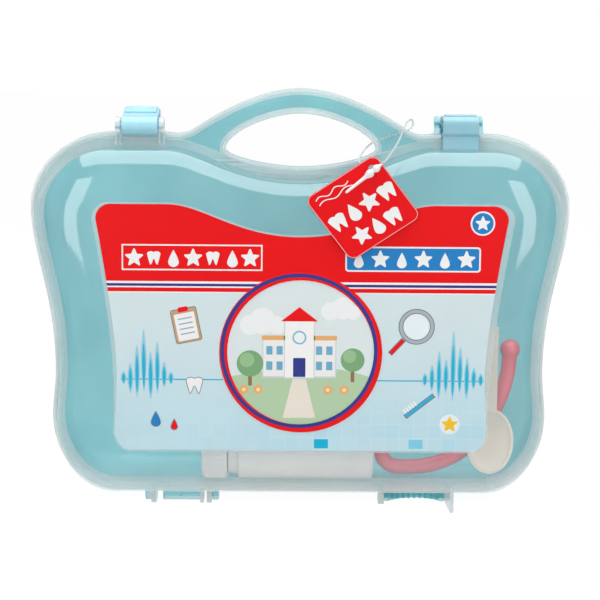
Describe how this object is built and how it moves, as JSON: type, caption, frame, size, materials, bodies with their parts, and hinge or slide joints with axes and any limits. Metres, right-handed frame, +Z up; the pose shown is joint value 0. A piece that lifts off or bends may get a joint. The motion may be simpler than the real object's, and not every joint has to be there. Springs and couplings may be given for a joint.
{
  "type": "toy doctor case",
  "caption": "Clam-shell toy doctor's carrying case in clear plastic with grip handle, snap latches, printed label, hang tag and a few toys inside.",
  "frame": {"origin": "middle of the case's width and depth, on the surface that its hinge ears stand on", "axes": "+X to the right seen from the labelled front, +Y from the front to the back, +Z up to the handle"},
  "size_m": [0.268, 0.0773, 0.2104],
  "materials": {
    "cover_plastic": "milky clear polypropylene, satin",
    "shell_plastic": "clear light blue polypropylene, satin",
    "latch_plastic": "light blue polypropylene, satin gloss",
    "label_print": "printed label film, satin gloss",
    "tag_card": "printed coated card",
    "strand_plastic": "clear nylon",
    "toy_white": "moulded polyethylene",
    "toy_red": "moulded plastic"
  },
  "bodies": {
    "back_shell": {"back_shell": "shell_plastic", "bottle": "toy_white", "bottle_cap": "toy_white", "medicine_spoon": "toy_white", "stethoscope_frame": "toy_red"},
    "front_cover": {"front_cover": "cover_plastic", "cover_label": "label_print", "tag_loop": "strand_plastic", "tag_lock": "strand_plastic"},
    "latch_left": {"latch_left": "latch_plastic"},
    "latch_right": {"latch_right": "latch_plastic"},
    "hang_tag": {"hang_tag": "tag_card"}
  },
  "joints": [
    {"name": "lid_hinge", "type": "hinge", "parent": "back_shell", "child": "front_cover", "pos_m": [0, 0.0003, 0.0029], "axis": [1, 0, 0], "range_deg": [0, 180]},
    {"name": "latch_left_pivot", "type": "hinge", "parent": "front_cover", "child": "latch_left", "pos_m": [-0.079, -0.0092, 0.1922], "axis": [1, 0, 0], "range_deg": [0, 120]},
    {"name": "latch_right_pivot", "type": "hinge", "parent": "back_shell", "child": "latch_right", "pos_m": [0.079, 0.0098, 0.1922], "axis": [-1, 0, 0], "range_deg": [0, 120]},
    {"name": "tag_swing", "type": "hinge", "parent": "front_cover", "child": "hang_tag", "pos_m": [0.0343, -0.0374, 0.1742], "axis": [0, -1, 0], "range_deg": [-40, 40]}
  ]
}
